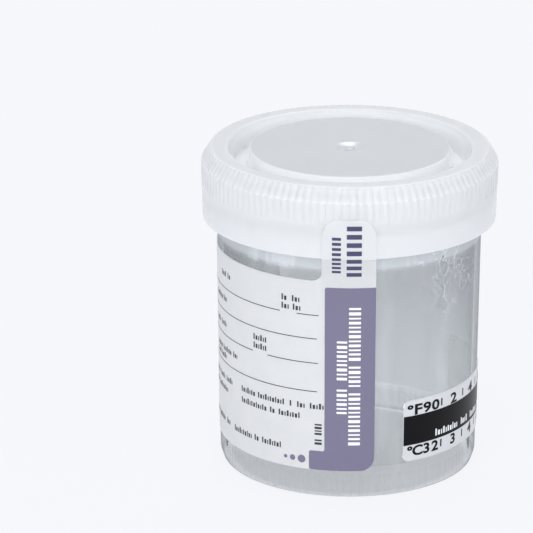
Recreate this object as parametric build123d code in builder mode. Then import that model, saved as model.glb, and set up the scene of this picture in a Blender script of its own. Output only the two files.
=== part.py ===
"""Screw-capped specimen container: jar, plug-seal cap, wrap label with seal tab, temperature strip.

Millimetres. The jar's axis is Z, the table is z = 0 and the middle of the label's tab faces -Y.
"""
from build123d import *
import os
from math import asin, degrees

os.makedirs("parts", exist_ok=True)

# ---------------------------------------------------------------- driving dimensions: jar
jar_height = 65.9           # table to the jar's rim
mouth_diameter = 52.8       # bore of the neck
neck_wall = 1.2
neck_start = 1.2            # cap's lip to where the thicker neck begins
collar_inset = 0.25         # the collar's outside is this much inside the neck's
collar_height = 3.2         # plain band that shows under the cap
collar_step = 0.15          # the body starts this much inside the collar
body_taper = 0.55           # the body loses this much radius on the way down
body_wall = 1.2
floor_level = 4.5           # table to the underside of the floor
floor_thickness = 1.2
floor_fillet = 1.4          # inner corner between wall and floor
heel_bevel = 0.6            # how far the heel's edge tapers in
heel_bevel_height = 1.8
skirt_foot_wall = 1.3       # thickness of the ring that the jar stands on
rim_bevel = 0.35            # both edges of the jar's rim
flute_count = 96            # fine flutes inside the standing ring
flute_depth = 0.45

# ---------------------------------------------------------------- driving dimensions: cap
seat_gap = 0.1              # jar rim to the cap's sealing face
cap_depth = 13.5            # sealing face to the lip
thread_space = 1.35         # radial room for the thread between neck and skirt
skirt_wall = 1.3            # at the lip
skirt_draft = 0.25          # the skirt is this much wider at the shoulder
lip_bevel = 0.3             # outer edge of the cap's lip
top_wall = 1.2              # over the jar's rim
shoulder_width = 1.9        # bevel between the flat rim and the skirt
shoulder_height = 2.9
shoulder_relief = 1.1       # inner corner, cut back under the bevel
plug_gap = 0.3              # plug to the jar's bore
plug_depth = 4.4            # sealing face to the plug's lower edge
plug_wall = 1.1
plug_draft = 0.6
rim_inner_round = 0.8       # edge from the flat rim down into the groove
groove_width = 4.3          # at the top, between the rim's wall and the raised disc
disc_drop = 0.4             # the disc lies this much under the rim
disc_wall = 1.2
disc_draft = 0.25
disc_bevel = 0.35           # edge of the disc
gate_diameter = 6.6         # dished mark of the moulding gate
gate_depth = 0.45
nub_diameter = 1.3
nub_height = 0.3
rib_count = 120             # grip ribs round the shoulder
rib_depth = 0.34            # at the shoulder's edge, where the valleys are deepest
rib_top_depth = 0.16        # where they meet the flat rim
rib_end_depth = 0.03        # where they fade into the skirt
rib_proud = 0.05            # the crests stand this much outside the skirt
rib_run = 4.4               # how far the ribs reach down the skirt

# ---------------------------------------------------------------- driving dimensions: label and strip
glue_line = 0.05            # adhesive between a sheet and the wall
label_thickness = 0.12
label_bottom = 5.9
label_drop = 5.7            # cap's lip to the label's top edge
bridge_landing = 0.7        # label's top edge to where the tab leaves the wall
label_wrap = 147.0          # degrees, from the tab's middle to the far end
label_corner = 3.0
tab_width = 10.9
tab_on_cap = 8.4            # length of the tab stuck to the cap's skirt
tab_corner = 3.6
notch_corner = 1.9
tear_gap = 0.04             # between the two halves of the tab, at the cap's lip
strip_bottom = 7.0
strip_height = 13.3
strip_start = 24.7          # degrees, from the tab's middle to the strip's near end
strip_length = 48.5
strip_corner = 1.4
strip_thickness = 0.15

# ---------------------------------------------------------------- worked-out places
mouth_r = mouth_diameter / 2
neck_r = mouth_r + neck_wall
collar_r = neck_r - collar_inset
body_top_r = collar_r - collar_step
foot_r = body_top_r - body_taper
heel_r = foot_r - heel_bevel
standing_bore_r = heel_r - skirt_foot_wall + flute_depth
floor_top = floor_level + floor_thickness

seal_z = jar_height + seat_gap
lip_z = seal_z - cap_depth
rim_z = seal_z + top_wall
skirt_bore_r = neck_r + thread_space
lip_r = skirt_bore_r + skirt_wall
shoulder_r = lip_r + skirt_draft
shoulder_z = rim_z - shoulder_height
rim_r = shoulder_r - shoulder_width
plug_r = mouth_r - plug_gap
plug_z = seal_z - plug_depth
groove_z = plug_z + plug_wall
groove_outer_top_r = plug_r - plug_wall
disc_r = groove_outer_top_r - groove_width
disc_z = rim_z - disc_drop
neck_z = lip_z + neck_start
collar_z = lip_z - collar_height
skirt_slope = (shoulder_r - lip_r) / (shoulder_z - lip_z)
body_slope = (body_top_r - foot_r) / (collar_z - heel_bevel_height)


def body_radius(z):
    """Outside of the jar's tapered body at height z."""
    return foot_r + body_slope * (z - heel_bevel_height)


def skirt_radius(z):
    """Outside of the cap's skirt at height z, over the ribs' crests."""
    return lip_r + skirt_slope * (z - lip_z)


def azimuth_plane(angle):
    """Radial half-plane at an angle from -Y: x runs outwards and y runs up."""
    outwards = Vector(0, -1, 0).rotate(Axis.Z, angle)
    return Plane(origin=(0, 0, 0), x_dir=outwards, z_dir=Vector(-1, 0, 0).rotate(Axis.Z, angle))


def wall_plane(angle, radius, z):
    """Plane that touches the wall at an angle from -Y: x runs round it and y runs up."""
    outwards = Vector(0, -1, 0).rotate(Axis.Z, angle)
    return Plane(
        origin=outwards * radius + Vector(0, 0, z),
        x_dir=Vector(1, 0, 0).rotate(Axis.Z, angle),
        z_dir=outwards,
    )


def vertex_at(shapes, x, y):
    """The one vertex of a sketch nearest to a point."""
    return shapes.sort_by_distance(Vector(x, y, 0))[0]


def toothed_outline(radius, depth, count):
    """Points of a zigzag ring: crests on the radius and a valley between each pair."""
    points = []
    for tooth in range(count):
        points.append(Vector(radius - depth, 0).rotate(Axis.Z, 360 * tooth / count))
        points.append(Vector(radius, 0).rotate(Axis.Z, 360 * (tooth + 0.5) / count))
    return points


def sheet_corners(angle, radius, low, high, corner, side):
    """What rounding takes off the two corners at one end of a wrapped sheet."""
    with BuildPart() as waste:
        for z, up in ((low, 1), (high, -1)):
            with BuildSketch(wall_plane(angle, radius, z)):
                with Locations((side * corner / 4, up * corner / 4)):
                    Rectangle(1.5 * corner, 1.5 * corner)
                with Locations((side * corner, up * corner)):
                    Circle(corner, mode=Mode.SUBTRACT)
            extrude(amount=corner, both=True)
    return waste.part


# ---------------------------------------------------------------- jar
neck_blend_z = neck_z + collar_inset
with BuildPart() as jar:
    with BuildSketch(Plane.XZ) as jar_section:
        with BuildLine():
            Polyline(
                (0, 0),
                (heel_r, 0),
                (foot_r, heel_bevel_height),
                (body_top_r, collar_z),
                (collar_r, collar_z + collar_step),
                (collar_r, neck_z),
                (neck_r, neck_blend_z),
                (neck_r, jar_height),
                (mouth_r, jar_height),
                (mouth_r, neck_z),
                (body_top_r - body_wall, collar_z),
                (foot_r - body_wall, floor_top),
                (0, floor_top),
                close=True,
            )
        make_face()
        fillet(vertex_at(jar_section.vertices(), foot_r - body_wall, floor_top), floor_fillet)
        chamfer(vertex_at(jar_section.vertices(), neck_r, jar_height), rim_bevel)
        chamfer(vertex_at(jar_section.vertices(), mouth_r, jar_height), rim_bevel)
    revolve(axis=Axis.Z)
    with BuildSketch(Plane.XY):
        with BuildLine():
            Polyline(*toothed_outline(standing_bore_r + flute_depth, flute_depth, flute_count), close=True)
        make_face()
    extrude(amount=floor_level, mode=Mode.SUBTRACT)
jar.part.label = "jar"
export_step(jar.part, "parts/jar.step")

# ---------------------------------------------------------------- cap
run_z = shoulder_z - rib_run
above_z = rim_z + top_wall
below_z = lip_z - top_wall
groove_outer_r = groove_outer_top_r - plug_draft
groove_inner_r = disc_r + disc_draft
hollow_r = groove_inner_r - plug_wall
gate_sphere_r = (gate_diameter ** 2 / 4 + gate_depth ** 2) / (2 * gate_depth)
rib_stations = (
    (run_z, skirt_radius(run_z) + rib_proud, rib_end_depth),
    (shoulder_z, shoulder_r, rib_depth),
    (rim_z, rim_r, rib_top_depth),
)
with BuildPart() as cap:
    # plain skirt, solid for now
    with BuildSketch(Plane.XZ) as skirt_section:
        with BuildLine():
            Polyline((0, lip_z), (lip_r, lip_z), (skirt_radius(run_z), run_z), (0, run_z), close=True)
        make_face()
        chamfer(vertex_at(skirt_section.vertices(), lip_r, lip_z), lip_bevel)
    revolve(axis=Axis.Z)
    # ribbed shoulder
    for z, crest_r, depth in rib_stations:
        with BuildSketch(Plane.XY.offset(z)):
            with BuildLine():
                Polyline(*toothed_outline(crest_r, depth, rib_count), close=True)
            make_face()
    loft(ruled=True)
    # inside: room for the neck, the plug's outer wall and the hollow under the disc
    with BuildSketch(Plane.XZ):
        with BuildLine():
            Polyline(
                (0, below_z),
                (skirt_bore_r, below_z),
                (skirt_bore_r, seal_z - shoulder_relief),
                (skirt_bore_r - shoulder_relief, seal_z),
                (plug_r, seal_z),
                (plug_r - plug_draft, plug_z),
                (hollow_r, plug_z),
                (hollow_r - disc_draft, disc_z - disc_wall),
                (0, disc_z - disc_wall),
                close=True,
            )
        make_face()
    revolve(axis=Axis.Z, mode=Mode.SUBTRACT)
    # top: the ring groove round the disc
    with BuildSketch(Plane.XZ) as groove_section:
        with BuildLine():
            wall_line = Polyline(
                (0, above_z),
                (0, disc_z),
                (disc_r, disc_z),
                (groove_inner_r, groove_z),
                (groove_outer_r, groove_z),
                (groove_outer_top_r, rim_z - rim_inner_round),
            )
            edge_line = TangentArc(
                wall_line @ 1, (groove_outer_top_r + rim_inner_round, rim_z), tangent=wall_line % 1
            )
            Polyline(edge_line @ 1, (groove_outer_top_r + rim_inner_round, above_z), (0, above_z))
        make_face()
        chamfer(vertex_at(groove_section.vertices(), disc_r, disc_z), disc_bevel)
    revolve(axis=Axis.Z, mode=Mode.SUBTRACT)
    # dished gate mark with its nub
    with Locations((0, 0, disc_z - gate_depth + gate_sphere_r)):
        Sphere(gate_sphere_r, mode=Mode.SUBTRACT)
    with BuildSketch(Plane.XY.offset(disc_z - gate_depth - disc_wall / 4)):
        Circle(nub_diameter / 2)
    extrude(amount=disc_wall / 4 + nub_height)
cap.part.label = "cap"
export_step(cap.part, "parts/cap.step")

# ---------------------------------------------------------------- label: wraps the jar, with a tab up to the cap
label_top = lip_z - label_drop
landing_z = label_top + bridge_landing
bridge_top_z = lip_z - tear_gap
bridge_run = lip_r - body_radius(landing_z)
bridge_length = (bridge_run ** 2 + (bridge_top_z - landing_z) ** 2) ** 0.5
bridge_thickness = label_thickness * bridge_length / (bridge_top_z - landing_z)
label_low_r = body_radius(label_bottom) + glue_line
label_landing_r = body_radius(landing_z) + glue_line
tab_base_r = lip_r + glue_line
tab_angle = degrees(asin(tab_width / 2 / label_low_r))
label_ends = sheet_corners(-label_wrap, label_low_r, label_bottom, label_top, label_corner, 1)
with BuildPart() as label:
    with BuildSketch(azimuth_plane(-label_wrap)):
        with BuildLine():
            Polyline(
                (label_low_r, label_bottom),
                (label_landing_r, landing_z),
                (tab_base_r, bridge_top_z),
                (tab_base_r + bridge_thickness, bridge_top_z),
                (label_landing_r + label_thickness, landing_z),
                (label_low_r + label_thickness, label_bottom),
                close=True,
            )
        make_face()
    revolve(axis=Axis.Z, revolution_arc=label_wrap + 2 * tab_angle)
    with BuildSketch(Plane.XZ) as label_outline:
        with BuildLine():
            Polyline(
                (-2 * lip_r, label_bottom),
                (tab_width / 2, label_bottom),
                (tab_width / 2, lip_z),
                (-tab_width / 2, lip_z),
                (-tab_width / 2, label_top),
                (-2 * lip_r, label_top),
                close=True,
            )
        make_face()
        fillet(vertex_at(label_outline.vertices(), tab_width / 2, label_bottom), label_corner)
        fillet(vertex_at(label_outline.vertices(), -tab_width / 2, label_top), notch_corner)
    extrude(amount=2 * lip_r, both=True, mode=Mode.INTERSECT)
    add(label_ends, mode=Mode.SUBTRACT)
label.part.label = "label"
export_step(label.part, "parts/label.step")

# ---------------------------------------------------------------- seal tab: the label's end on the cap's skirt
tab_top = lip_z + tab_on_cap
with BuildPart() as seal_tab:
    with BuildSketch(azimuth_plane(-2 * tab_angle)):
        with BuildLine():
            Polyline(
                (skirt_radius(lip_z) + glue_line, lip_z),
                (skirt_radius(lip_z) + glue_line + label_thickness, lip_z),
                (skirt_radius(tab_top) + glue_line + label_thickness, tab_top),
                (skirt_radius(tab_top) + glue_line, tab_top),
                close=True,
            )
        make_face()
    revolve(axis=Axis.Z, revolution_arc=4 * tab_angle)
    with BuildSketch(Plane.XZ) as tab_outline:
        with Locations((0, lip_z)):
            Rectangle(tab_width, tab_on_cap, align=(Align.CENTER, Align.MIN))
        fillet(tab_outline.vertices().group_by(Axis.Y)[-1], tab_corner)
    extrude(amount=2 * lip_r, mode=Mode.INTERSECT)
seal_tab.part.label = "seal_tab"
export_step(seal_tab.part, "parts/seal_tab.step")

# ---------------------------------------------------------------- temperature strip
strip_top = strip_bottom + strip_height
strip_low_r = body_radius(strip_bottom) + glue_line
strip_top_r = body_radius(strip_top) + glue_line
strip_arc = degrees(strip_length / strip_low_r)
strip_near = sheet_corners(strip_start, strip_low_r, strip_bottom, strip_top, strip_corner, 1)
strip_far = sheet_corners(strip_start + strip_arc, strip_low_r, strip_bottom, strip_top, strip_corner, -1)
with BuildPart() as temperature_strip:
    with BuildSketch(azimuth_plane(strip_start)):
        with BuildLine():
            Polyline(
                (strip_low_r, strip_bottom),
                (strip_top_r, strip_top),
                (strip_top_r + strip_thickness, strip_top),
                (strip_low_r + strip_thickness, strip_bottom),
                close=True,
            )
        make_face()
    revolve(axis=Axis.Z, revolution_arc=strip_arc)
    add([strip_near, strip_far], mode=Mode.SUBTRACT)
temperature_strip.part.label = "temperature_strip"
export_step(temperature_strip.part, "parts/temperature_strip.step")
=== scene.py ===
"""Looks of a screw-capped specimen container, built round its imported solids.

Run as a script it registers its operators, calls them in order and finishes the scene. Outlines are
written in millimetres as (radius, height) and become metres when they are made into meshes.
"""

import math

import bmesh
import bpy
from mathutils import Matrix, Vector


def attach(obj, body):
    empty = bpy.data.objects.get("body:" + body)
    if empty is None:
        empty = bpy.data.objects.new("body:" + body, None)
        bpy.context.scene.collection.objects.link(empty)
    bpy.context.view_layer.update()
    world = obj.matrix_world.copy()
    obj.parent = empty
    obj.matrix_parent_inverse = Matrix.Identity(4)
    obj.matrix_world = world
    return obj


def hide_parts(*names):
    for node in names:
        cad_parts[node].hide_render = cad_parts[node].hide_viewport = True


bl_info = {
    "name": "Specimen container",
    "version": (1, 0, 0),
    "blender": (4, 5, 0),
    "location": "3D View > Sidebar > Container",
    "description": "Builds a capped specimen jar with its label, seal tab and temperature strip",
    "category": "Object",
}

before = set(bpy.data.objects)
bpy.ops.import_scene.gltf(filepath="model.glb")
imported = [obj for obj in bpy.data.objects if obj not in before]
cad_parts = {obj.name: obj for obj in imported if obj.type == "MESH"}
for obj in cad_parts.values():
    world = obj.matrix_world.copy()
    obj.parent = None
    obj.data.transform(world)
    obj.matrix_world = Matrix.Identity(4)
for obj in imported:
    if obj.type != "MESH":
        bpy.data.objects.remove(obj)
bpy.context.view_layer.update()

MM = 0.001
TURN = 2 * math.pi
RENDER_SIZE = 533
WRAP_RADIUS = 27.0  # flat lengths on the label and the strip are measured at this radius
EVERYWHERE = 100.0  # a height above the whole container
THREAD_WIDTH = 1.5
THREAD_STEPS = 96  # sections in one turn of a thread
TEAR_GAP = 0.04  # the label ends this much under the cap's lip
INK = 0.01  # thickness of print
PRINT_LIFT = 0.005  # gap between a sheet and its print
TOP_PRINT_LIFT = 0.02  # the same for print that lies on other print
DIFFUSE_LEVEL = 0.80  # strength of the surroundings as light, against what is seen of them
FLOOR_PLAIN = 0.93  # share of the floor that is shown as a plain unlit colour
FOOT_LIT = 0.5  # how much less of it is plain under the foot, where lamps and shadow show
LAMPS = (
    # name, place, height of the aim, size, watts
    ("key", (-0.12, -0.75, 0.45), 0.04, (0.6, 0.5), 3.1),
    ("fill", (0.65, -0.35, 0.45), 0.04, (0.5, 0.5), 0.5),
    ("top", (0.0, -0.28, 0.85), 0.06, (0.22, 0.10), 0.6),
    ("back", (0.05, 0.62, 0.62), 0.06, (0.25, 0.22), 0.9),
)


# ------------------------------------------------------------------ properties
def length(name, description, millimetres):
    return bpy.props.FloatProperty(
        name=name, description=description, default=millimetres * MM, min=0.0, precision=5,
        subtype="DISTANCE", unit="LENGTH",
    )


def amount(name, description, default, high=1.0):
    return bpy.props.FloatProperty(name=name, description=description, default=default, min=0.0, max=high)


def colour(name, description, default):
    return bpy.props.FloatVectorProperty(
        name=name, description=description, default=default, size=3, min=0.0, max=1.0, subtype="COLOR"
    )


class JarSettings(bpy.types.PropertyGroup):
    """Sizes in millimetres and finish of the jar moulding"""

    height: length("Height", "Table to the rim", 65.9)
    mouth: length("Mouth radius", "Bore of the neck", 26.4)
    neck_wall: length("Neck wall", "Wall of the threaded neck", 1.2)
    neck_base: length("Neck base", "Height where the thicker neck begins", 53.7)
    collar_inset: length("Collar inset", "The collar's outside is this much inside the neck's", 0.25)
    collar_base: length("Collar base", "Lower edge of the plain collar", 49.3)
    collar_step: length("Collar step", "The body starts this much inside the collar", 0.15)
    taper: length("Taper", "Radius lost on the way down", 0.55)
    wall: length("Wall", "Body wall", 1.2)
    floor_level: length("Floor level", "Table to the underside of the floor", 4.5)
    floor: length("Floor", "Floor thickness", 1.2)
    heel: length("Heel bevel", "How far the heel tapers in", 0.6)
    heel_height: length("Heel height", "Height of the heel's bevel", 1.8)
    ring_wall: length("Ring wall", "Wall of the standing ring", 1.3)
    flutes: bpy.props.IntProperty(name="Flutes", description="Fine flutes inside the standing ring", default=96)
    flute_depth: length("Flute depth", "Depth of the flutes", 0.45)
    thread_low: length("Thread start", "Height where the thread begins", 56.4)
    thread_pitch: length("Thread pitch", "Rise of the thread in one turn", 3.8)
    thread_turns: amount("Thread turns", "Turns of the thread", 1.6, 10.0)
    thread_height: length("Thread height", "How far the thread stands out", 0.8)
    tint: colour("Tint", "Colour of the clear plastic", (0.455, 0.477, 0.492))
    haze: amount("Haze", "How much one wall hides at its middle", 0.16)


class CapSettings(bpy.types.PropertyGroup):
    """Sizes in millimetres and finish of the cap moulding"""

    seat: length("Seat", "Height of the sealing face", 66.0)
    depth: length("Depth", "Sealing face to the lip", 13.5)
    top_wall: length("Top wall", "Wall over the jar's rim", 1.2)
    thread_space: length("Thread space", "Room between the neck and the skirt", 1.35)
    skirt_wall: length("Skirt wall", "Wall of the skirt at the lip", 1.3)
    skirt_draft: length("Skirt draft", "The skirt is this much wider at the shoulder", 0.25)
    shoulder_width: length("Shoulder width", "Bevel between rim and skirt, inwards", 1.9)
    shoulder_height: length("Shoulder height", "Bevel between rim and skirt, downwards", 2.9)
    shoulder_relief: length("Shoulder relief", "Inner corner under the bevel", 1.1)
    plug_gap: length("Plug gap", "Plug to the jar's bore", 0.3)
    plug_depth: length("Plug depth", "Sealing face to the plug's lower edge", 4.4)
    plug_wall: length("Plug wall", "Wall of the plug", 1.1)
    plug_draft: length("Plug draft", "Taper of the plug", 0.6)
    groove: length("Groove width", "Between the rim's wall and the disc", 4.3)
    disc_drop: length("Disc drop", "The disc lies this much under the rim", 0.4)
    disc_draft: length("Disc draft", "Taper of the disc's edge", 0.25)
    gate: length("Gate radius", "Dished gate mark", 3.3)
    gate_depth: length("Gate depth", "Depth of the gate mark", 0.45)
    nub: length("Nub radius", "Nub left by the gate", 0.75)
    nub_height: length("Nub height", "Height of the nub", 0.4)
    ribs: bpy.props.IntProperty(name="Ribs", description="Grip ribs round the shoulder", default=120)
    rib_depth: length("Rib depth", "Valleys at the shoulder's edge", 0.31)
    rib_top_depth: length("Rib top depth", "Valleys at the flat rim", 0.16)
    rib_run: length("Rib run", "How far the ribs reach down the skirt", 4.4)
    thread_lift: length("Thread start", "The lip to the beginning of the inner thread", 2.6)
    thread_height: length("Thread height", "How far the inner thread stands out", 0.75)
    rib_proud: length("Rib stand", "The crests stand this much outside the skirt", 0.05)
    tint: colour("Tint", "Colour of the milky plastic", (0.738, 0.757, 0.770))
    cover: amount("Cover", "How much one wall hides", 0.94)


class LabelSettings(bpy.types.PropertyGroup):
    """Sizes in millimetres and colours of the label and its tab"""

    glue: length("Glue line", "Adhesive between sheet and wall", 0.05)
    thickness: length("Thickness", "Paper thickness", 0.12)
    low: length("Lower edge", "Height of the label's lower edge", 5.9)
    high: length("Upper edge", "Height of the label's upper edge", 46.8)
    landing: length("Landing", "Height where the tab leaves the wall", 47.5)
    lip: length("Cap lip", "Height of the cap's lip, where the tab tears", 52.5)
    tab_top: length("Tab top", "Height of the tab's end on the cap", 60.9)
    tab_width: length("Tab width", "Width of the tab", 10.9)
    wrap: amount("Wrap", "Degrees from the tab's middle to the far end", 147.0, 360.0)
    corner: length("Corner", "Rounding of the label's corners", 3.0)
    tab_corner: length("Tab corner", "Rounding of the tab's end", 3.6)
    notch: length("Notch corner", "Rounding beside the tab", 1.9)
    paper: colour("Paper", "Coated paper", (0.80, 0.807, 0.815))
    field: colour("Field", "Purple field beside the write-on area", (0.178, 0.166, 0.255))
    ink: colour("Ink", "Print of the write-on area", (0.035, 0.037, 0.042))
    tab_ink: colour("Tab ink", "Print of the tab", (0.06, 0.055, 0.13))


class StripSettings(bpy.types.PropertyGroup):
    """Sizes in millimetres and colours of the temperature strip"""

    glue: length("Glue line", "Adhesive between film and wall", 0.05)
    thickness: length("Thickness", "Film thickness", 0.15)
    low: length("Lower edge", "Height of the strip's lower edge", 7.0)
    height: length("Height", "Height of the strip", 13.3)
    start: amount("Start", "Degrees from the tab's middle to the near end", 24.7, 360.0)
    span: length("Length", "Length of the strip", 48.5)
    corner: length("Corner", "Rounding of the strip's corners", 1.4)
    band_low: length("Band bottom", "Strip's lower edge to the black band", 3.55)
    band_height: length("Band height", "Height of the black band", 6.35)
    film: colour("Film", "Clear film, white-tinted", (0.63, 0.645, 0.665))
    black: colour("Black", "Band and numbers", (0.004, 0.004, 0.005))


class StageSettings(bpy.types.PropertyGroup):
    """Camera, lights and floor"""

    focal: length("Focal length", "Lens of the camera, in millimetres on a 36 mm sensor", 264.2)
    distance: length("Distance", "Camera to the aim point", 813.0)
    elevation: amount("Elevation", "Degrees above the table", 19.6, 90.0)
    roll: bpy.props.FloatProperty(name="Roll", description="Camera roll in radians", default=0.0077)
    aim_height: length("Aim height", "Height of the point that the camera frames", 33.0)
    aim_x: amount("Aim column", "Picture column of the aim point", 348.9, RENDER_SIZE)
    aim_y: amount("Aim row", "Picture row of the aim point", 301.2, RENDER_SIZE)
    floor_colour: colour("Floor", "Pale floor and backdrop", (0.905, 0.913, 0.947))


class Measures:
    """A group of settings with its lengths read back in millimetres."""

    def __init__(self, group):
        for key in group.__annotations__:
            value = getattr(group, key)
            definition = group.bl_rna.properties[key]
            if definition.type == "POINTER":
                value = Measures(value)
            elif definition.type == "FLOAT" and definition.subtype == "DISTANCE":
                value = round(value / MM, 5)
            setattr(self, key, value)


def settings():
    return Measures(bpy.context.scene.container)


# ------------------------------------------------------------------ mesh helpers
def rounded_face(bm, outline):
    """Draw a closed outline of (x, y, rounding) in the XZ plane and round its corners."""
    verts = [bm.verts.new((x * MM, 0, y * MM)) for x, y, _ in outline]
    bm.faces.new(verts)
    count = len(outline)
    for index, (x, y, rounding) in enumerate(outline):
        if not rounding:
            continue
        here = Vector((x, y))
        before = Vector(outline[index - 1][:2]) - here
        after = Vector(outline[(index + 1) % count][:2]) - here
        half = (math.pi - before.angle(after)) / 2
        bmesh.ops.bevel(
            bm,
            geom=[verts[index]],
            offset=rounding * math.tan(half) * MM,
            offset_type="OFFSET",
            affect="VERTICES",
            segments=max(3, round(half * 6)),
            profile=0.5,
            material=-1,
        )


def turned(outline, steps):
    """Spin a closed outline of (radius, height, rounding) about Z into a closed shell."""
    bm = bmesh.new()
    rounded_face(bm, outline)
    bmesh.ops.delete(bm, geom=bm.faces[:], context="FACES_ONLY")
    axle = [e for e in bm.edges if all(abs(v.co.x) < 1e-7 for v in e.verts)]
    bmesh.ops.delete(bm, geom=axle, context="EDGES")
    bmesh.ops.spin(
        bm,
        geom=bm.verts[:] + bm.edges[:],
        cent=(0, 0, 0),
        axis=(0, 0, 1),
        angle=TURN,
        steps=steps,
        use_merge=True,
    )
    bmesh.ops.remove_doubles(bm, verts=bm.verts, dist=1e-6)
    bmesh.ops.recalc_face_normals(bm, faces=bm.faces)
    return bm


def ridge(low, pitch, turns, root, height, width, inward=False, ramp=0.12):
    """A thread: a tapered section carried round and up, with both ends run out."""
    bm = bmesh.new()
    side = -1 if inward else 1
    steps = round(turns * THREAD_STEPS)
    sunk = root - side * 0.1

    def section(share):
        angle = share * turns * TURN
        out = side * height * min(1, share * turns / ramp, (1 - share) * turns / ramp)
        rise = low + pitch * turns * share
        profile = ((sunk, -width / 2), (root + out, -width / 5), (root + out, width / 5), (sunk, width / 2))
        return [Matrix.Rotation(angle, 3, "Z") @ Vector((r * MM, 0, (rise + z) * MM)) for r, z in profile]

    start = bm.faces.new([bm.verts.new(co) for co in section(0)])
    edges = start.edges[:]
    for step in range(steps):
        made = bmesh.ops.extrude_edge_only(bm, edges=edges)["geom"]
        new = [g for g in made if isinstance(g, bmesh.types.BMVert)]
        old_places = section(step / steps)
        new_places = section((step + 1) / steps)
        for v in new:
            nearest = min(range(4), key=lambda k: (old_places[k] - v.co).length)
            v.co = new_places[nearest]
        edges = [g for g in made if isinstance(g, bmesh.types.BMEdge) and all(v in new for v in g.verts)]
    bmesh.ops.holes_fill(bm, edges=edges, sides=4)
    bmesh.ops.recalc_face_normals(bm, faces=bm.faces)
    return bm


def joined(bm, other):
    """Add another bmesh to this one."""
    mesh = bpy.data.meshes.new("joined")
    other.to_mesh(mesh)
    other.free()
    bm.from_mesh(mesh)
    bpy.data.meshes.remove(mesh)


def piece(name, bm, materials, body, replaces=(), smooth=math.radians(32), moulded=False):
    """Make an object of a bmesh, with its place in its mesh, and let it ride on a body."""
    mesh = bpy.data.meshes.new(name)
    bm.to_mesh(mesh)
    bm.free()
    obj = bpy.data.objects.new(name, mesh)
    bpy.context.scene.collection.objects.link(obj)
    for material in materials:
        mesh.materials.append(material)
    mesh.shade_smooth()
    mesh.set_sharp_from_angle(angle=smooth)
    if moulded:
        even = obj.modifiers.new("even_shading", "WEIGHTED_NORMAL")
        even.keep_sharp = True
    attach(obj, body)
    if replaces:
        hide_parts(*replaces)
    return obj


# ------------------------------------------------------------------ sheets that follow a wall
class Wall:
    """A surface of revolution that sheets lie on: radius by height, and a fixed radius to wrap by."""

    def __init__(self, stations, wrap_radius=None, flat_above=None):
        self.stations = stations
        self.wrap_radius = wrap_radius
        self.flat_above = flat_above

    def radius(self, z):
        points = self.stations
        for (z0, r0), (z1, r1) in zip(points, points[1:]):
            if z <= z1 or (z1, r1) == points[-1]:
                return r0 + (r1 - r0) * (z - z0) / (z1 - z0)

    def place(self, u, z, lift):
        radius = self.radius(z)
        by = self.wrap_radius if self.wrap_radius and z <= self.flat_above else radius
        angle = u / by
        return Vector((math.sin(angle), -math.cos(angle), 0)) * (radius + lift) * MM + Vector((0, 0, z * MM))


def cut_across(bm, step, breaks=()):
    """Cut a flat shape into narrow columns, and along given heights, so that it can bend."""
    low = min(v.co.x for v in bm.verts)
    high = max(v.co.x for v in bm.verts)
    first = math.ceil(low / (step * MM))
    last = math.floor(high / (step * MM))
    planes = [((k * step * MM, 0, 0), (1, 0, 0)) for k in range(first, last + 1)]
    planes += [((0, 0, z * MM), (0, 0, 1)) for z in breaks]
    for point, normal in planes:
        geom = bm.verts[:] + bm.edges[:] + bm.faces[:]
        bmesh.ops.bisect_plane(bm, geom=geom, dist=1e-7, plane_co=point, plane_no=normal)


def laid(bm, wall, lift, thickness, step=1.5, breaks=()):
    """Thicken a flat shape, drawn as (u, z) in the XZ plane, and bend it round a wall."""
    bmesh.ops.remove_doubles(bm, verts=bm.verts, dist=1e-7)
    cut_across(bm, step, breaks)
    raised = bmesh.ops.extrude_face_region(bm, geom=bm.faces[:], use_keep_orig=True)["geom"]
    raised = [g for g in raised if isinstance(g, bmesh.types.BMVert)]
    bmesh.ops.translate(bm, verts=raised, vec=(0, -thickness * MM, 0))
    bmesh.ops.recalc_face_normals(bm, faces=bm.faces)
    for v in bm.verts:
        v.co = wall.place(v.co.x / MM, v.co.z / MM, lift - v.co.y / MM)


def backed(bm):
    """Give the faces that look inwards the second material."""
    bm.normal_update()
    for face in bm.faces:
        middle = face.calc_center_median()
        face.material_index = 1 if face.normal.dot(Vector((middle.x, middle.y, 0))) < 0 else 0
    return bm


def bar(bm, u0, z0, u1, z1, rounding=0.0):
    """A flat rectangle with its corners rounded."""
    outline = ((u0, z0, rounding), (u1, z0, rounding), (u1, z1, rounding), (u0, z1, rounding))
    part = bmesh.new()
    rounded_face(part, outline)
    joined(bm, part)


def strokes(bm, start, base, run, tall, stem, gap, upright=False):
    """A stand-in for a word: plain strokes of two heights along a run, or down a column."""
    along = 0.0
    index = 0
    while along + stem <= run + 1e-6:
        width = stem * (1.0, 1.5, 0.8, 1.3, 0.8)[index % 5]
        share = 1.0 if upright else (1.0, 0.72, 0.72, 1.0, 0.72, 0.86, 0.72)[index % 7]
        if upright:
            bar(bm, base, start - along - width, base + tall, start - along, stem * 0.25)
        else:
            bar(bm, start + along, base, start + along + width, base + tall * share, stem * 0.25)
        along += width + gap
        index += 1


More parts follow.
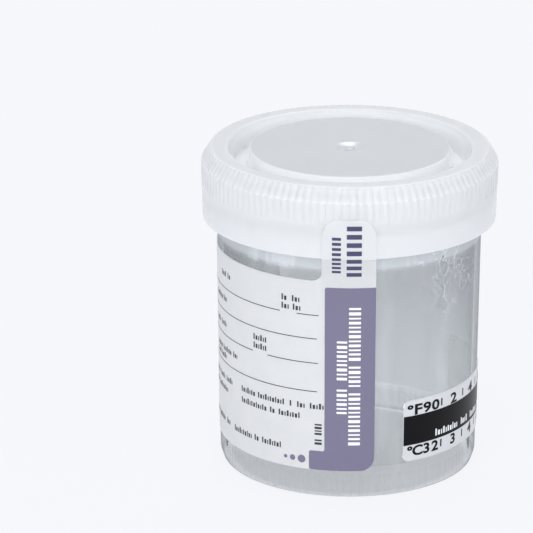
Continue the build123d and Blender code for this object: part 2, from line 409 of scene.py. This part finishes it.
def figures(bm, text, u, z, height, weight=0.0, width=1.0):
    """Plain figures centred on a place, from Blender's own font."""
    curve = bpy.data.curves.new("figures", "FONT")
    curve.body = text
    curve.align_x = "CENTER"
    curve.align_y = "BOTTOM"
    curve.resolution_u = 3
    curve.offset = weight / height / 1.4
    obj = bpy.data.objects.new("figures", curve)
    bpy.context.scene.collection.objects.link(obj)
    mesh = bpy.data.meshes.new_from_object(obj)
    low = min(v.co.y for v in mesh.vertices)
    scale = height / (max(v.co.y for v in mesh.vertices) - low)
    for v in mesh.vertices:
        v.co = Vector(((v.co.x * scale * width + u) * MM, 0, ((v.co.y - low) * scale + z) * MM))
    bm.from_mesh(mesh)
    bpy.data.objects.remove(obj)
    bpy.data.curves.remove(curve)
    bpy.data.meshes.remove(mesh)


# ------------------------------------------------------------------ shader helpers
class Sock:
    """A shader socket that takes part in ordinary arithmetic."""

    def __init__(self, shader, socket):
        self.shader = shader
        self.socket = socket

    def math(self, operation, *others):
        return self.shader.node("Math", {"operation": operation}, *((self,) + others))

    def __add__(self, other):
        return self.math("ADD", other)

    def __sub__(self, other):
        return self.math("SUBTRACT", other)

    def __mul__(self, other):
        return self.math("MULTIPLY", other)

    def __pow__(self, other):
        return self.math("POWER", other)

    def __rsub__(self, other):
        return self.shader.node("Math", {"operation": "SUBTRACT"}, other, self)

    __radd__ = __add__
    __rmul__ = __mul__

    def clamped(self, low, high):
        return self.math("MAXIMUM", low).math("MINIMUM", high)


class Shader:
    """A material's nodes, made one at a time."""

    def __init__(self, name):
        self.material = bpy.data.materials.new(name)
        self.material.use_nodes = True
        self.tree = self.material.node_tree
        self.tree.nodes.clear()

    def node(self, kind, options=None, *inputs, output=0, **named):
        made = self.tree.nodes.new("ShaderNode" + kind)
        for key, value in (options or {}).items():
            setattr(made, key, value)
        pairs = list(enumerate(inputs)) + [(key.replace("_", " "), value) for key, value in named.items()]
        for key, value in pairs:
            target = made.inputs[key]
            if isinstance(value, Sock):
                self.tree.links.new(value.socket, target)
            else:
                target.default_value = value
        return Sock(self, made.outputs[output])

    def place(self):
        coordinates = self.tree.nodes.new("ShaderNodeTexCoord")
        return Sock(self, coordinates.outputs["Object"])

    def noise(self, scale, detail=2.0, stretch=(1, 1, 1)):
        spread = self.node("Mapping", None, Vector=self.place(), Scale=stretch)
        return self.node("TexNoise", None, Vector=spread, Scale=scale, Detail=detail)

    def bump(self, height, strength, distance):
        return self.node("Bump", None, Height=height, Strength=strength, Distance=distance)

    def rise(self, value, low, high):
        return self.node("MapRange", {"interpolation_type": "SMOOTHSTEP"}, value, low, high, 0.0, 1.0)

    def height(self):
        return self.node("SeparateXYZ", None, self.place(), output=2)

    def radius(self):
        across = self.node("VectorMath", {"operation": "MULTIPLY"}, self.place(), (1.0, 1.0, 0.0))
        return self.node("VectorMath", {"operation": "LENGTH"}, across, output=1)

    def ray(self, name):
        path = self.tree.nodes.new("ShaderNodeLightPath")
        return Sock(self, path.outputs[name])

    def blend(self, share, first, second):
        mixed = self.tree.nodes.new("ShaderNodeMix")
        mixed.data_type = "RGBA"
        for target, value in ((mixed.inputs[0], share), (mixed.inputs[6], first), (mixed.inputs[7], second)):
            if isinstance(value, Sock):
                self.tree.links.new(value.socket, target)
            else:
                target.default_value = value
        return Sock(self, mixed.outputs[2])

    def finish(self, surface):
        output = self.tree.nodes.new("ShaderNodeOutputMaterial")
        self.tree.links.new(surface.socket, output.inputs["Surface"])
        return self.material


def rgba(values, gain=1.0):
    return (*(min(1.0, v * gain) for v in values), 1.0)


def clear_plastic(tint, haze, collar, floor_top):
    """Clear moulded plastic with a little haze and flow marks, cloudier in its collar and ring; its colour holds
    painted light and shade: a painted highlight on the collar, painted shade towards the cap and near the table,
    painted dark edges and painted refraction streaks.
    """
    s = Shader("clear_plastic")
    cloud = s.noise(90, 3.0)
    flow = s.noise(230, 4.0, stretch=(1, 1, 0.2))
    streak = s.noise(900, 2.0, stretch=(1, 1, 0.08))
    edge = s.node("LayerWeight", None, Blend=0.35, output=1)
    height = s.height()
    outer = s.rise(s.radius(), 0.0255, 0.0259)
    # The collar is cloudier and lighter in colour; the lighter colour is a painted highlight.
    collar_haze_and_sheen = s.rise(height, collar - 0.0014, collar + 0.0006)
    # The standing ring is cloudier, with streaks from its flutes, and darker in colour; the darker colour is painted
    # shade near the table.
    ring = (1 - s.rise(height, floor_top - 0.0012, floor_top - 0.0002)) * outer
    # The lowest 0.9 mm is cloudier and darker: painted contact shadow where the jar stands.
    foot = 1 - s.rise(height, 0.0002, 0.0009)
    under = (1 - s.rise(height, floor_top + 0.0001, floor_top + 0.0006)) * (1 - outer)
    # Darker and a little cloudier towards the top: painted shade from the cap.
    painted_cap_shade = s.rise(height, 0.012, 0.048)
    # Light and dark lines on the front right of the upper body: painted refraction streaks.
    refraction_noise = s.node("TexNoise", None, Vector=s.place(), Scale=190, Detail=2.0, Distortion=1.6)
    across = s.node("SeparateXYZ", None, s.place())
    along = s.node("SeparateXYZ", None, s.place(), output=1)
    side = s.rise(across, 0.011, 0.020) * (1 - s.rise(along, -0.012, -0.004)) * s.rise(height, 0.028, 0.046)
    painted_light_streak = (s.rise(refraction_noise, 0.50, 0.53) - s.rise(refraction_noise, 0.53, 0.57)) * side * outer
    painted_dark_streak = (s.rise(refraction_noise, 0.58, 0.61) - s.rise(refraction_noise, 0.62, 0.66)) * side * outer
    wisp = s.rise(flow, 0.56, 0.72)
    waver = (cloud - 0.5) * 0.05 + (flow - 0.5) * 0.08 + wisp * 0.07 + ring * (streak - 0.5) * 0.35
    cover = edge ** 2.2 * (outer * 0.32 + 0.08) + haze + waver + collar_haze_and_sheen * 0.33 + ring * 0.09 + foot * 0.12
    cover = cover - under * 0.2 + painted_cap_shade * 0.08 - 0.04 + painted_light_streak * 0.2 + painted_dark_streak * 0.06
    shade = s.blend(flow, rgba(tint, 0.96), rgba(tint, 1.12))
    shade = s.blend(painted_cap_shade * 0.9, shade, rgba(tint, 0.60))
    shade = s.blend(wisp * 0.5 + collar_haze_and_sheen * 0.8 + painted_light_streak * 0.8, shade, rgba(tint, 1.6))
    shade = s.blend(painted_dark_streak * 0.8, shade, rgba(tint, 0.4))
    # Painted shade: the standing ring and the heel are darker.
    shade = s.blend(ring * 0.4 + foot * 0.4, shade, rgba(tint, 0.75))
    relief = s.bump(flow + cloud * 0.5, 0.2, 0.0003)
    body = s.node(
        "BsdfPrincipled", None, Base_Color=shade, Roughness=cloud * 0.06 + 0.12, IOR=1.2, Normal=relief,
    )
    clear = s.node("BsdfTransparent", None, Color=(0.92, 0.93, 0.936, 1.0))
    clearer = s.node("BsdfTransparent", None, Color=(0.985, 0.99, 0.99, 1.0))
    clear = s.node("MixShader", None, under, clear, clearer)
    seen = s.node("MixShader", None, cover.clamped(0.02, 0.95), clear, body)
    # A grey diffuse near the outline, at grazing view: painted shade for the dark edges that refraction gives.
    painted_edge_shade = s.node("BsdfDiffuse", None, Color=rgba(tint, 0.9))
    edge_shade_share = edge ** 6.0 * (outer * 3.8 + 0.2)
    seen = s.node("MixShader", None, edge_shade_share.clamped(0.0, 0.8), seen, painted_edge_shade)
    lit = s.node("BsdfTransparent", None, Color=(0.985, 0.99, 0.99, 1.0))
    dim = s.node("BsdfTransparent", None, Color=(0.62, 0.63, 0.64, 1.0))
    lit = s.node("MixShader", None, (under + ring).clamped(0.0, 1.0), lit, dim)
    seen = s.node("MixShader", None, s.ray("Is Diffuse Ray"), seen, lit)
    return s.finish(s.node("MixShader", None, s.ray("Is Shadow Ray"), seen, lit))


def milky_plastic(tint, cover, disc, rim):
    """Milky plastic with satin gloss, fine grain, slow changes of density and a thinner disc, with painted shade on
    the disc and the rim's top and painted light in the groove.
    """
    s = Shader("milky_plastic")
    cloud = s.noise(45, 2.0)
    grain = s.noise(700, 2.0)
    radius = s.radius()
    thin_shaded_disc = 1 - s.rise(radius, disc - 0.0004, disc + 0.0002)
    # The groove is lighter in colour and glows: painted light in place of the shade it would hold.
    groove = (1 - s.rise(s.height(), rim - 0.0012, rim - 0.0002)) * (1 - s.rise(radius, 0.0248, 0.0252))
    glow = groove * (1 - thin_shaded_disc)
    density = (cloud - 0.5) * 0.06 + cover - thin_shaded_disc * 0.06
    shade = s.blend(cloud, rgba(tint, 0.98), rgba(tint, 1.02))
    # The disc is thinner and so clearer; its darker colour is painted shade for the shaded inside seen through it.
    shade = s.blend(thin_shaded_disc * 0.95, shade, rgba(tint, 0.78))
    shade = s.blend(glow, shade, rgba(tint, 1.07))
    # The flat rim's top is darker: painted shade.
    shade = s.blend(s.rise(s.height(), rim - 0.0008, rim - 0.0002) * (1 - thin_shaded_disc), shade, rgba(tint, 0.93))
    relief = s.bump(grain * 0.15 + cloud, 0.05, 0.0002)
    body = s.node(
        "BsdfPrincipled", None, Base_Color=shade, Roughness=grain * 0.05 + 0.13, IOR=1.49, Normal=relief,
        Emission_Color=s.blend(glow, (0.0, 0.0, 0.0, 1.0), rgba(tint)), Emission_Strength=0.10,
        Subsurface_Weight=1.0, Subsurface_Radius=(1.0, 1.0, 1.0), Subsurface_Scale=0.0035,
    )
    clear = s.node("BsdfTransparent", None, Color=(0.97, 0.98, 0.99, 1.0))
    return s.finish(s.node("MixShader", None, density.clamped(0.0, 1.0), clear, body))


def coated_paper(name, colour_values, gloss=0.42, through=0.0, glow=0.0):
    """Coated paper, its back or ink on it: fine fibres, with some light coming through the sheet, and an optional
    glow that paints light soaking through it.
    """
    s = Shader(name)
    fibre = s.noise(2600, 3.0, stretch=(1, 1, 0.35))
    mottle = s.noise(260, 2.0)
    shade = s.blend(mottle * 0.6 + fibre * 0.4, rgba(colour_values, 0.96), rgba(colour_values, 1.04))
    relief = s.bump(fibre, 0.12, 0.0001)
    body = s.node(
        "BsdfPrincipled", None, Base_Color=shade, Roughness=fibre * 0.12 + gloss, IOR=1.45, Normal=relief,
        Emission_Color=rgba(colour_values), Emission_Strength=glow,
    )
    if not through:
        return s.finish(body)
    back = s.node("BsdfTranslucent", None, Color=shade)
    return s.finish(s.node("MixShader", None, through, body, back))


def strip_film(name, tint, hides):
    """Film with a white tint that lets light through."""
    s = Shader(name)
    cloud = s.noise(300, 2.0)
    shade = s.blend(cloud, rgba(tint, 0.97), rgba(tint, 1.03))
    gloss = s.node("BsdfPrincipled", None, Base_Color=shade, Roughness=cloud * 0.06 + 0.18, IOR=1.5)
    glow = s.node("BsdfTranslucent", None, Color=shade)
    body = s.node("MixShader", None, 0.25, gloss, glow)
    clear = s.node("BsdfTransparent", None, Color=(0.97, 0.98, 0.99, 1.0))
    return s.finish(s.node("MixShader", None, cloud * 0.08 + hides, clear, body))


def gloss_ink(name, values, specular=0.5):
    """Smooth print under a clear film."""
    s = Shader(name)
    cloud = s.noise(500, 2.0)
    shade = s.blend(cloud, rgba(values, 0.85), rgba(values, 1.15))
    body = s.node("BsdfPrincipled", None, Base_Color=shade, Roughness=cloud * 0.1 + 0.28, IOR=1.5,
                  Specular_IOR_Level=specular)
    return s.finish(body)


# ------------------------------------------------------------------ walls
def body_wall(jar, glue):
    """The jar's tapered body."""
    top = jar.mouth + jar.neck_wall - jar.collar_inset - jar.collar_step
    return [(jar.heel_height, top - jar.taper + glue), (jar.collar_base, top + glue)]


def radius_on(stations, z):
    (z0, r0), (z1, r1) = stations
    return r0 + (r1 - r0) * (z - z0) / (z1 - z0)


def lip_radius(jar, cap):
    return jar.mouth + jar.neck_wall + cap.thread_space + cap.skirt_wall


def label_wall(own):
    """Body wall up to the landing, then straight out to the cap's lip."""
    jar, cap, label = own.jar, own.cap, own.label
    body = body_wall(jar, label.glue)
    landing = (label.landing, radius_on(body, label.landing))
    lip = (label.lip, lip_radius(jar, cap) + label.glue)
    return Wall([body[0], landing, lip], wrap_radius=WRAP_RADIUS, flat_above=label.landing)


def skirt_wall(own):
    """The cap's skirt."""
    jar, cap, label = own.jar, own.cap, own.label
    lip = lip_radius(jar, cap)
    shoulder_z = cap.seat + cap.top_wall - cap.shoulder_height
    return Wall([(label.lip, lip + label.glue), (shoulder_z, lip + cap.skirt_draft + label.glue)])


# ------------------------------------------------------------------ operators
class BuildJar(bpy.types.Operator):
    """Build the clear jar with its neck thread and fluted ring"""

    bl_idname = "container.jar"
    bl_label = "Jar"

    def execute(self, context):
        own = settings()
        jar = own.jar
        neck = jar.mouth + jar.neck_wall
        collar = neck - jar.collar_inset
        top = collar - jar.collar_step
        foot = top - jar.taper
        heel = foot - jar.heel
        bore = heel - jar.ring_wall + jar.flute_depth
        floor_top = jar.floor_level + jar.floor
        outline = (
            (0, jar.floor_level, 0),
            (bore, jar.floor_level, 0),
            (bore, 0, 0.12),
            (heel, 0, 0.3),
            (foot, jar.heel_height, 1.2),
            (top, jar.collar_base, 0.15),
            (collar, jar.collar_base + jar.collar_step, 0.12),
            (collar, jar.neck_base, 0.1),
            (neck, jar.neck_base + jar.collar_inset, 0.1),
            (neck, jar.height, 0.45),
            (jar.mouth, jar.height, 0.45),
            (jar.mouth, jar.neck_base, 1.0),
            (top - jar.wall, jar.collar_base, 1.0),
            (foot - jar.wall, floor_top, 1.4),
            (0, floor_top, 0),
        )
        bm = turned(outline, jar.flutes * 4)
        for v in bm.verts:
            across = math.hypot(v.co.x, v.co.y) / MM
            height = v.co.z / MM
            if abs(across - bore) < 0.2 and height < jar.floor_level + 0.01:
                turn = math.atan2(v.co.y, v.co.x) * jar.flutes
                reach = 1 + jar.flute_depth / bore * (0.5 - 0.5 * math.cos(turn))
                v.co.x *= reach
                v.co.y *= reach
        thread = ridge(
            jar.thread_low, jar.thread_pitch, jar.thread_turns, neck, jar.thread_height, THREAD_WIDTH,
        )
        joined(bm, thread)
        plastic = clear_plastic(jar.tint, jar.haze, jar.collar_base * MM, floor_top * MM)
        piece("jar_moulding", bm, [plastic], "jar", ["jar"], moulded=True)
        return {"FINISHED"}


class BuildCap(bpy.types.Operator):
    """Build the milky cap with its ribs, plug groove, disc and gate mark"""

    bl_idname = "container.cap"
    bl_label = "Cap"

    def execute(self, context):
        own = settings()
        jar, cap = own.jar, own.cap
        neck = jar.mouth + jar.neck_wall
        skirt_bore = neck + cap.thread_space
        lip = skirt_bore + cap.skirt_wall
        lip_z = cap.seat - cap.depth
        rim_z = cap.seat + cap.top_wall
        shoulder = lip + cap.skirt_draft
        shoulder_z = rim_z - cap.shoulder_height
        rim = shoulder - cap.shoulder_width
        plug = jar.mouth - cap.plug_gap
        plug_z = cap.seat - cap.plug_depth
        groove_z = plug_z + cap.plug_wall
        groove_top = plug - cap.plug_wall
        disc = groove_top - cap.groove
        disc_z = rim_z - cap.disc_drop
        hollow = disc + cap.disc_draft - cap.plug_wall
        run_z = shoulder_z - cap.rib_run
        run = lip + cap.skirt_draft * (run_z - lip_z) / (shoulder_z - lip_z)
        dish = [
            (cap.gate * share, disc_z - cap.gate_depth * (1 - share ** 2), 0) for share in (0.45, 0.65, 0.85, 1.0)
        ]
        nub_z = disc_z - cap.gate_depth + cap.nub_height
        outline = (
            (0, nub_z, 0),
            (cap.nub, nub_z, 0.15),
            (cap.nub + 0.1, disc_z - cap.gate_depth, 0.1),
            *dish,
            (cap.gate + 0.2, disc_z, 0),
            (disc, disc_z, 0.35),
            (disc + cap.disc_draft, groove_z, 0.5),
            (groove_top - cap.plug_draft, groove_z, 0.5),
            (groove_top, rim_z, 0.8),
            (rim, rim_z, 0.45),
            (shoulder, shoulder_z, 0.5),
            (run + cap.rib_proud, run_z + 0.2, 0),
            (run, run_z - 0.4, 0),
            (lip, lip_z, 0.35),
            (skirt_bore, lip_z, 0.25),
            (skirt_bore, cap.seat - cap.shoulder_relief, 0.4),
            (skirt_bore - cap.shoulder_relief, cap.seat, 0.4),
            (plug, cap.seat, 0.2),
            (plug - cap.plug_draft, plug_z, 0.35),
            (hollow, plug_z, 0.35),
            (hollow - cap.disc_draft, disc_z - cap.top_wall, 0.4),
            (0, disc_z - cap.top_wall, 0),
        )
        bm = turned(outline, cap.ribs * 6)
        fade = 0.6  # the ribs run out over this much of the flat rim
        for v in bm.verts:
            across = math.hypot(v.co.x, v.co.y) / MM
            height = v.co.z / MM
            if height < run_z or across < rim - fade:
                continue
            if height > shoulder_z:
                share = (height - shoulder_z) / (rim_z - shoulder_z)
                depth = cap.rib_depth + (cap.rib_top_depth - cap.rib_depth) * share
                depth *= min(1.0, (across - rim + fade) / 0.5)
            else:
                depth = cap.rib_depth * (height - run_z) / (shoulder_z - run_z)
            valley = (0.5 + 0.5 * math.cos(math.atan2(v.co.y, v.co.x) * cap.ribs)) ** 1.5
            reach = 1 - depth * valley / across
            v.co.x *= reach
            v.co.y *= reach
        turns = 1.4
        thread = ridge(
            lip_z + cap.thread_lift, jar.thread_pitch, turns, skirt_bore, cap.thread_height, THREAD_WIDTH,
            inward=True,
        )
        joined(bm, thread)
        plastic = milky_plastic(cap.tint, cap.cover, disc * MM, rim_z * MM)
        piece("cap_moulding", bm, [plastic], "cap", ["cap"], smooth=math.radians(50), moulded=True)
        return {"FINISHED"}


class BuildLabel(bpy.types.Operator):
    """Build the label, the two halves of its tab and their print"""

    bl_idname = "container.label"
    bl_label = "Label"

    def sheets(self, own, paper):
        label = own.label
        wall = label_wall(own)
        half = label.tab_width / 2
        far = -math.radians(label.wrap) * wall.wrap_radius
        tear = label.lip - TEAR_GAP
        outline = (
            (far, label.low, label.corner),
            (half, label.low, label.corner),
            (half, tear, 0),
            (-half, tear, 0),
            (-half, label.high, label.notch),
            (far, label.high, label.corner),
        )
        bm = bmesh.new()
        rounded_face(bm, outline)
        laid(bm, wall, 0.0, label.thickness, breaks=(label.landing,))
        piece("label_sheet", backed(bm), paper, "jar", ["label"])
        outline = (
            (-half, label.lip, 0),
            (half, label.lip, 0),
            (half, label.tab_top, label.tab_corner),
            (-half, label.tab_top, label.tab_corner),
        )
        bm = bmesh.new()
        rounded_face(bm, outline)
        laid(bm, skirt_wall(own), 0.0, label.thickness)
        piece("seal_tab_sheet", backed(bm), paper, "cap", ["seal_tab"])

    def purple_field(self, own):
        label = own.label
        half = label.tab_width / 2
        bm = bmesh.new()
        outline = (
            (-8.0, 5.95, 0.5),
            (half + 0.02, 5.95, 2.9),
            (half + 0.02, 45.6, 0),
            (-4.75, 45.6, 0.5),
            (-4.75, 10.1, 0.4),
            (-8.0, 10.1, 0.5),
        )
        rounded_face(bm, outline)
        for u, z, size in ((-9.6, 8.0, 0.85), (-11.6, 8.0, 0.6), (-13.2, 8.0, 0.4)):
            bar(bm, u - size, z - size, u + size, z + size, size * 0.98)
        laid(bm, label_wall(own), label.thickness + PRINT_LIFT, INK)
        piece("label_field", bm, [coated_paper("purple_ink", label.field)], "jar")

    def write_on_print(self, own):
        label = own.label
        bm = bmesh.new()
        far = -51.0
        rules = (
            (39.45, ((far, -14.4), (-10.6, -6.0))),
            (34.4, ((far, -6.4),)),
            (29.15, ((far, -21.5), (-17.5, -6.1))),
            (23.0, ((far, -6.3),)),
        )
        for z, stretches in rules:
            for u0, u1 in stretches:
                bar(bm, u0, z - 0.09, u1, z + 0.09)
        words = (
            (41.9, 1.3, -14.0, (1.6, 1.8)), (40.1, 1.3, -14.0, (1.8, 1.8)),
            (31.7, 1.3, -21.3, (3.8,)), (29.9, 1.3, -21.3, (3.5,)),
            (42.0, 1.2, -34.0, (2.6, 1.4)), (36.6, 1.2, -38.0, (4.2, 2.2)), (31.0, 1.2, -38.5, (3.1, 3.4)),
            (25.6, 1.2, -38.0, (3.6, 4.4, 2.0)), (24.0, 1.2, -38.0, (2.4, 3.4)),
            (19.2, 1.25, -25.3, (4.4, 7.2, 0.9, 2.0, 3.2)), (16.8, 1.25, -25.3, (7.6, 1.4, 5.2)),
            (19.2, 1.25, -41.5, (4.8, 3.2, 3.0)), (16.8, 1.25, -41.5, (3.4, 6.2)),
            (9.6, 1.3, -28.2, (6.2, 1.4, 5.0)), (9.9, 1.3, -41.5, (3.2, 4.8, 2.2)),
            (40.0, 1.5, -66.0, (4.2, 2.6, 3.4)), (37.8, 1.5, -66.0, (6.8, 3.0)), (34.6, 1.2, -66.0, (7.0, 3.4)),
            (29.4, 1.2, -66.0, (5.2, 4.6)), (23.2, 1.2, -66.0, (6.4, 2.0, 3.0)), (17.4, 1.2, -66.0, (8.2, 5.6)),
            (12.0, 1.1, -66.0, (4.4, 1.4, 6.2, 2.4)), (10.2, 1.1, -66.0, (5.0, 5.2)),
        )
        for z, tall, start, widths in words:
            u = start
            for width in widths:
                strokes(bm, u, z, width, tall, 0.34, 0.26)
                u += width + 0.75
        strokes(bm, 16.0, -6.8, 2.9, 1.5, 0.34, 0.28, upright=True)
        strokes(bm, 12.6, -6.8, 1.2, 1.5, 0.34, 0.28, upright=True)
        laid(bm, label_wall(own), label.thickness + PRINT_LIFT, INK)
        piece("label_rules", bm, [coated_paper("label_ink", label.ink)], "jar")

    def field_print(self, own, white):
        label = own.label
        bm = bmesh.new()
        columns = (
            (0.1, 2.4, 41.4, (11.4, 4.6, 12.0)),
            (-2.3, 2.1, 34.2, (9.2, 6.2)),
        )
        for base, tall, top, runs in columns:
            z = top
            for run in runs:
                strokes(bm, z, base, run, tall, 0.44, 0.5, upright=True)
                z -= run + 1.2
        laid(bm, label_wall(own), label.thickness + TOP_PRINT_LIFT, INK)
        piece("label_field_print", bm, [white], "jar")

    def tab_print(self, own):
        label = own.label
        ink = coated_paper("tab_ink", label.tab_ink)
        columns = ((-0.45, 3.0, 59.7, 47.1, 1.0), (-3.4, 1.8, 57.3, 48.9, 0.62))
        for name, wall, body, low, high in (
            ("label_tab_print", label_wall(own), "jar", 0.0, label.lip - TEAR_GAP),
            ("seal_tab_print", skirt_wall(own), "cap", label.lip, EVERYWHERE),
        ):
            bm = bmesh.new()
            for base, tall, top, bottom, stem in columns:
                z = top
                while z - stem > bottom:
                    foot, head = max(z - stem, low), min(z, high)
                    if head - foot > 0.05:
                        bar(bm, base, foot, base + tall, head)
                    z -= stem * 1.75
            laid(bm, wall, label.thickness + PRINT_LIFT, INK, breaks=(label.landing,))
            piece(name, bm, [ink], body)

    def execute(self, context):
        own = settings()
        paper = [
            coated_paper("label_paper", own.label.paper, 0.36, 0.5),
            # The label's back is whiter than the paper and glows: painted light soaking through the sheet.
            coated_paper("label_back", (0.96, 0.965, 0.97), 0.6, 0.5, 0.45),
        ]
        white = coated_paper("white_ink", (0.88, 0.88, 0.90))
        self.sheets(own, paper)
        self.purple_field(own)
        self.write_on_print(own)
        self.field_print(own, white)
        self.tab_print(own)
        return {"FINISHED"}


class BuildStrip(bpy.types.Operator):
    """Build the temperature strip with its black band and plain numbers"""

    bl_idname = "container.strip"
    bl_label = "Temperature strip"

    def execute(self, context):
        own = settings()
        strip = own.strip
        start = math.radians(strip.start) * WRAP_RADIUS
        end = start + strip.span
        high = strip.low + strip.height
        wall = Wall(body_wall(own.jar, strip.glue), wrap_radius=WRAP_RADIUS, flat_above=EVERYWHERE)
        film = bmesh.new()
        bar(film, start, strip.low, end, high, strip.corner)
        laid(film, wall, 0.0, strip.thickness)
        sides = [
            strip_film("strip_film", strip.film, 0.88),
            # The strip's back is a white glowing sheet: painted light soaking through the film.
            coated_paper("strip_back", (0.95, 0.955, 0.96), 0.5, glow=0.45),
        ]
        piece("strip_sheet", backed(film), sides, "jar", ["temperature_strip"])
        band_z = strip.low + strip.band_low
        band = bmesh.new()
        bar(band, start + 0.12, band_z, end - 0.12, band_z + strip.band_height, 0.0)
        black = gloss_ink("strip_black", strip.black, 0.12)
        laid(band, wall, strip.thickness + PRINT_LIFT, INK)
        piece("strip_band", band, [black], "jar")
        ink = bmesh.new()
        spacing = 7.35  # one figure to the next
        upper_z, lower_z = band_z + strip.band_height + 0.1, band_z - 2.55
        scales = ((upper_z, 1.4, "F90", "2468", "100"), (lower_z, 1.25, "C32", "3467", "38"))
        for z, wide, near, steps, last in scales:
            marks = [(1.6, "o"), (3.45, near[0]), (5.7, near[1]), (7.95, near[2])]
            marks += [(13.5 + spacing * k, figure) for k, figure in enumerate(steps)]
            marks += [(43.4, last)]
            for u, text in marks:
                tall, lift = (1.0, 1.3) if text == "o" else (2.3, 0.0)
                figures(ink, text, start + u, z + lift, tall, 0.10, wide)
            for k in range(5):
                u = start + 9.65 + spacing * k
                bar(ink, u - 0.2, z + 0.5, u + 0.2, z + 2.1)
        laid(ink, wall, strip.thickness + PRINT_LIFT, INK, step=0.75)
        white = gloss_ink("strip_white", (0.80, 0.82, 0.85))
        piece("strip_numbers", ink, [black], "jar")
        small = bmesh.new()
        u = start + 8.0
        for width in (7.4, 3.4, 5.6, 3.0):
            strokes(small, u, band_z + 0.7, width, 1.5, 0.4, 0.3)
            u += width + 1.1
        laid(small, wall, strip.thickness + TOP_PRINT_LIFT, INK, step=0.75)
        piece("strip_small_print", small, [white], "jar")
        return {"FINISHED"}


class BuildStage(bpy.types.Operator):
    """Set up the floor, the soft lights and the camera"""

    bl_idname = "container.stage"
    bl_label = "Stage"

    def camera(self, stage):
        sensor = 36.0
        focal_pixels = stage.focal / sensor * RENDER_SIZE
        up = math.radians(stage.elevation)
        aim = Vector((0, 0, stage.aim_height * MM))
        back = Vector((0, -math.cos(up), math.sin(up)))
        place = aim + back * stage.distance * MM
        data = bpy.data.cameras.new("camera")
        data.lens = stage.focal
        data.sensor_width = sensor
        data.clip_end = 20.0
        camera = bpy.data.objects.new("camera", data)
        bpy.context.scene.collection.objects.link(camera)
        # turn the camera so that the aim point lands on its column and row
        right = (stage.aim_x - RENDER_SIZE / 2) / focal_pixels
        down = (stage.aim_y - RENDER_SIZE / 2) / focal_pixels
        look = Matrix.Rotation(math.pi / 2 - up, 4, "X")
        turn = Matrix.Rotation(math.atan(right), 4, "Y") @ Matrix.Rotation(math.atan(down), 4, "X")
        roll = Matrix.Rotation(stage.roll, 4, "Z")
        camera.matrix_world = Matrix.Translation(place) @ look @ turn @ roll
        bpy.context.scene.camera = camera

    def lamp(self, name, place, aim, size, watts):
        data = bpy.data.lights.new(name, "AREA")
        data.shape = "RECTANGLE"
        data.size = size[0]
        data.size_y = size[1]
        data.energy = watts
        obj = bpy.data.objects.new(name, data)
        bpy.context.scene.collection.objects.link(obj)
        obj.location = place
        obj.rotation_euler = (Vector(aim) - Vector(place)).to_track_quat("-Z", "Y").to_euler()

    def floor(self, stage):
        bm = bmesh.new()
        bmesh.ops.create_grid(bm, x_segments=1, y_segments=1, size=4.0)
        mesh = bpy.data.meshes.new("floor")
        bm.to_mesh(mesh)
        bm.free()
        floor = bpy.data.objects.new("floor", mesh)
        bpy.context.scene.collection.objects.link(floor)
        s = Shader("floor")
        body = s.node("BsdfPrincipled", None, Base_Color=rgba(stage.floor_colour), Roughness=0.9)
        seen = s.node("Emission", None, Color=rgba(stage.floor_colour), Strength=1.02)
        pale = s.ray("Is Camera Ray") + s.ray("Is Glossy Ray") + s.ray("Is Transmission Ray")
        pale = pale.clamped(0.0, 1.0)
        near = 1 - s.rise(s.radius(), 0.0235, 0.0262)
        mesh.materials.append(s.finish(s.node("MixShader", None, pale * (FLOOR_PLAIN - near * FOOT_LIT), body, seen)))

    def world(self, stage):
        world = bpy.data.worlds.new("world")
        world.use_nodes = True
        bpy.context.scene.world = world
        tree = world.node_tree
        background = tree.nodes["Background"]
        background.inputs["Color"].default_value = rgba(stage.floor_colour)
        rays = tree.nodes.new("ShaderNodeLightPath")
        seen = tree.nodes.new("ShaderNodeMath")
        seen.operation = "SUBTRACT"
        seen.inputs[0].default_value = 1.0
        tree.links.new(rays.outputs["Is Diffuse Ray"], seen.inputs[1])
        level = tree.nodes.new("ShaderNodeMapRange")
        level.inputs["To Min"].default_value = DIFFUSE_LEVEL
        level.inputs["To Max"].default_value = 1.0
        tree.links.new(seen.outputs[0], level.inputs["Value"])
        tree.links.new(level.outputs["Result"], background.inputs["Strength"])

    def execute(self, context):
        stage = settings().stage
        context.scene.view_settings.view_transform = "Standard"
        self.world(stage)
        self.floor(stage)
        for name, place, aim_height, size, watts in LAMPS:
            self.lamp(name, place, (0, 0, aim_height), size, watts)
        self.camera(stage)
        return {"FINISHED"}


class ContainerSettings(bpy.types.PropertyGroup):
    """All settings of the container"""

    jar: bpy.props.PointerProperty(type=JarSettings)
    cap: bpy.props.PointerProperty(type=CapSettings)
    label: bpy.props.PointerProperty(type=LabelSettings)
    strip: bpy.props.PointerProperty(type=StripSettings)
    stage: bpy.props.PointerProperty(type=StageSettings)


BUILDERS = (BuildJar, BuildCap, BuildLabel, BuildStrip, BuildStage)


class ContainerPanel(bpy.types.Panel):
    """Buttons and settings of the container"""

    bl_idname = "VIEW3D_PT_container"
    bl_label = "Specimen container"
    bl_space_type = "VIEW_3D"
    bl_region_type = "UI"
    bl_category = "Container"

    def draw(self, context):
        own = context.scene.container
        for builder, group in zip(BUILDERS, (own.jar, own.cap, own.label, own.strip, own.stage)):
            box = self.layout.box()
            box.operator(builder.bl_idname)
            for key in group.__annotations__:
                box.prop(group, key)


CLASSES = (
    JarSettings, CapSettings, LabelSettings, StripSettings, StageSettings, ContainerSettings,
    *BUILDERS, ContainerPanel,
)


def register():
    for cls in CLASSES:
        bpy.utils.register_class(cls)
    bpy.types.Scene.container = bpy.props.PointerProperty(type=ContainerSettings)


def unregister():
    del bpy.types.Scene.container
    for cls in reversed(CLASSES):
        bpy.utils.unregister_class(cls)


def main():
    register()
    for builder in BUILDERS:
        group, name = builder.bl_idname.split(".")
        getattr(getattr(bpy.ops, group), name)()


if __name__ == "__main__":
    main()
